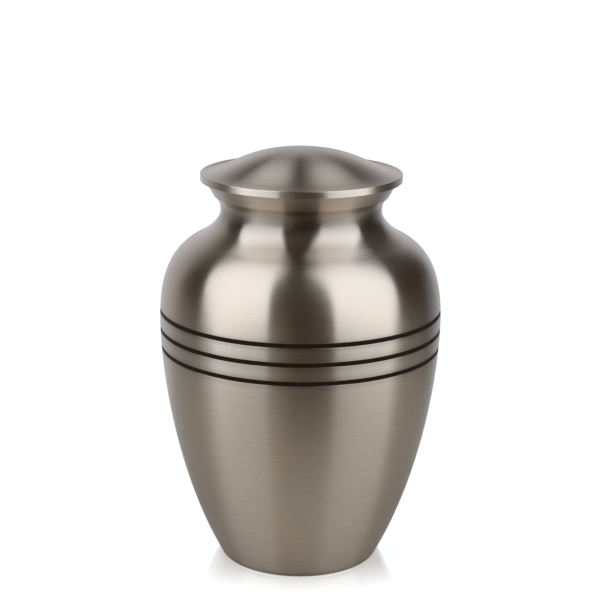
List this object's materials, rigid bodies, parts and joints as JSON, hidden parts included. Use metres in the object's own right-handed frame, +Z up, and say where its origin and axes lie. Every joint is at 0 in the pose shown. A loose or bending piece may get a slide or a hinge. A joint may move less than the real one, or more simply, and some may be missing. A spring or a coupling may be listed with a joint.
{
  "type": "cremation urn",
  "caption": "Round-shouldered vase-shaped metal urn with a flared collar, dark bands round the belly and a low domed lid that lifts off.",
  "frame": {"origin": "centre of the underside, on the plane the urn stands on", "axes": "+Z up along the axis the urn is turned on; it is round, so X and Y point anywhere, and +Y points away from the viewer of the picture"},
  "size_m": [0.1744, 0.1744, 0.2595],
  "materials": {
    "pewter_body": "spun brass, brushed round the axis, pewter-coloured and lacquered satin, the three cut bands filled black",
    "pewter_lid": "turned brass, brushed round the axis, pewter-coloured and lacquered satin"
  },
  "bodies": {
    "root": {"urn_body": "pewter_body", "lid": "pewter_lid"}
  },
  "joints": []
}
